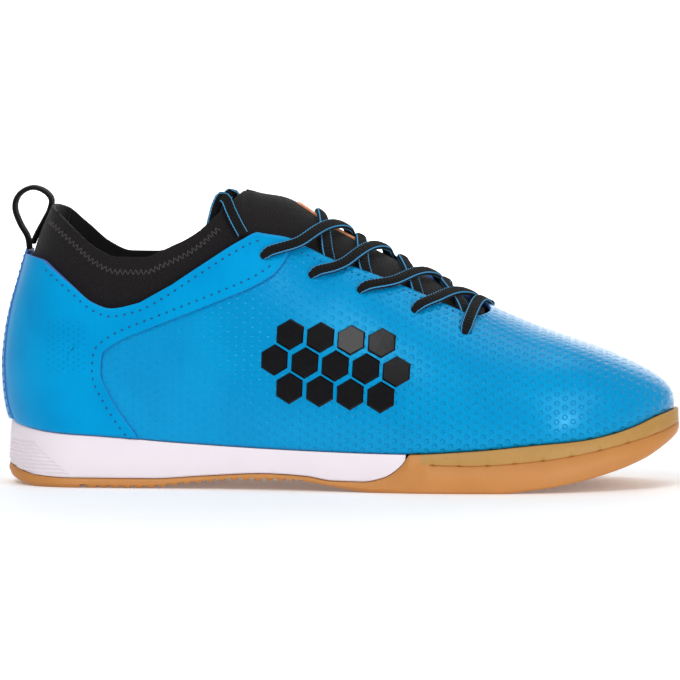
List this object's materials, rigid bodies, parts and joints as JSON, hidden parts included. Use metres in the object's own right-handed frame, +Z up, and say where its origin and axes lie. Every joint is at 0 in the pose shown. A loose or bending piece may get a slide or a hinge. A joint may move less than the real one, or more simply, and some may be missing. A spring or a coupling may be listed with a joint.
{
  "type": "indoor soccer shoe",
  "caption": "Low indoor soccer shoe for the right foot: blue embossed synthetic upper with a black knitted sock collar, laces, pale midsole and gum rubber outsole.",
  "frame": {"origin": "on the floor, in the middle of the heel's flat tread", "axes": "+X to the toe, +Y to the inner side of the right foot, +Z up"},
  "size_m": [0.29, 0.1003, 0.1278],
  "materials": {
    "gum_rubber": "smooth translucent gum rubber, satin",
    "pale_foam": "moulded foam, matte, off-white",
    "insole_cloth": "brushed sock lining, black",
    "embossed_skin": "synthetic leather with pressed dimples, semi-gloss blue",
    "smooth_skin": "smooth synthetic leather, semi-gloss blue, stitched",
    "sock_knit": "elastic knit, black",
    "webbing": "woven tape, black",
    "lace_cord": "ribbed flat cord, black with pale blue edge threads",
    "strip_cloth": "smooth woven tape, orange"
  },
  "bodies": {
    "root": {"outsole": "gum_rubber", "midsole": "pale_foam", "insole": "insole_cloth", "upper": "embossed_skin", "sock": "sock_knit", "quarter_panel_lateral": "smooth_skin", "quarter_panel_medial": "smooth_skin", "backstay": "smooth_skin", "pull_loop": "webbing", "tongue_strip": "strip_cloth", "laces": "lace_cord", "lace_end_lateral": "lace_cord", "lace_end_medial": "lace_cord"}
  },
  "joints": []
}
